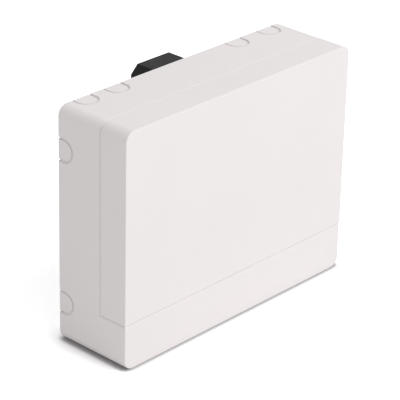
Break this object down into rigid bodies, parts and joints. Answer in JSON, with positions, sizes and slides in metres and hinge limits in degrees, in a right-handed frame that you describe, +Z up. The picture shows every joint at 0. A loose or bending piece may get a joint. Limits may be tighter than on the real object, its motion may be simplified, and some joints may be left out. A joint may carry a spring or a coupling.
{
  "type": "din rail fibre box",
  "caption": "Flat white fibre connection box with a pull-off front cover, ports facing down and a black sprung rail clip behind.",
  "frame": {"origin": "below the middle of the whole object, clip included, on the level of the bottom face", "axes": "+X along the width, to the right as seen from the front; -Y out of the front cover; +Z up"},
  "size_m": [0.122, 0.047, 0.096],
  "materials": {
    "shell": "fine satin",
    "clip": "moulded satin",
    "steel": "zinc plated",
    "panel": "satin",
    "tray": "satin",
    "holder": "soft",
    "adapter": "satin",
    "core": "satin",
    "ceramic": "polished",
    "splice": "milky"
  },
  "bodies": {
    "housing": {"base_shell": "shell", "rail_clip_body": "clip", "latch_spring": "steel", "adapter_panel": "panel", "fibre_tray": "tray", "splice_holder": "holder", "cable_clamp": "clip", "clip_screw_upper": "steel", "clip_screw_lower": "steel", "panel_screw_left": "steel", "panel_screw_right": "steel", "tray_screw_left": "steel", "tray_screw_right": "steel", "clamp_screw_lower": "steel", "clamp_screw_upper": "steel", "adapter_1": "adapter", "adapter_core_1": "core", "adapter_clip_1": "steel", "alignment_sleeve_1": "ceramic", "splice_sleeve_1": "splice", "adapter_2": "adapter", "adapter_core_2": "core", "adapter_clip_2": "steel", "alignment_sleeve_2": "ceramic", "splice_sleeve_2": "splice", "adapter_3": "adapter", "adapter_core_3": "core", "adapter_clip_3": "steel", "alignment_sleeve_3": "ceramic", "splice_sleeve_3": "splice", "adapter_4": "adapter", "adapter_core_4": "core", "adapter_clip_4": "steel", "alignment_sleeve_4": "ceramic", "splice_sleeve_4": "splice"},
    "cover": {"front_cover": "shell"},
    "latch": {"rail_latch": "clip"}
  },
  "joints": [
    {"name": "cover_pull", "type": "slide", "parent": "housing", "child": "cover", "axis": [0, -1, 0], "range_m": [0, 0.03]},
    {"name": "latch_pull", "type": "slide", "parent": "housing", "child": "latch", "axis": [0, 0, -1], "range_m": [0, 0.0035], "stiffness_N_per_m": 800, "springref_m": -0.002, "deforming": ["latch_spring"]}
  ]
}
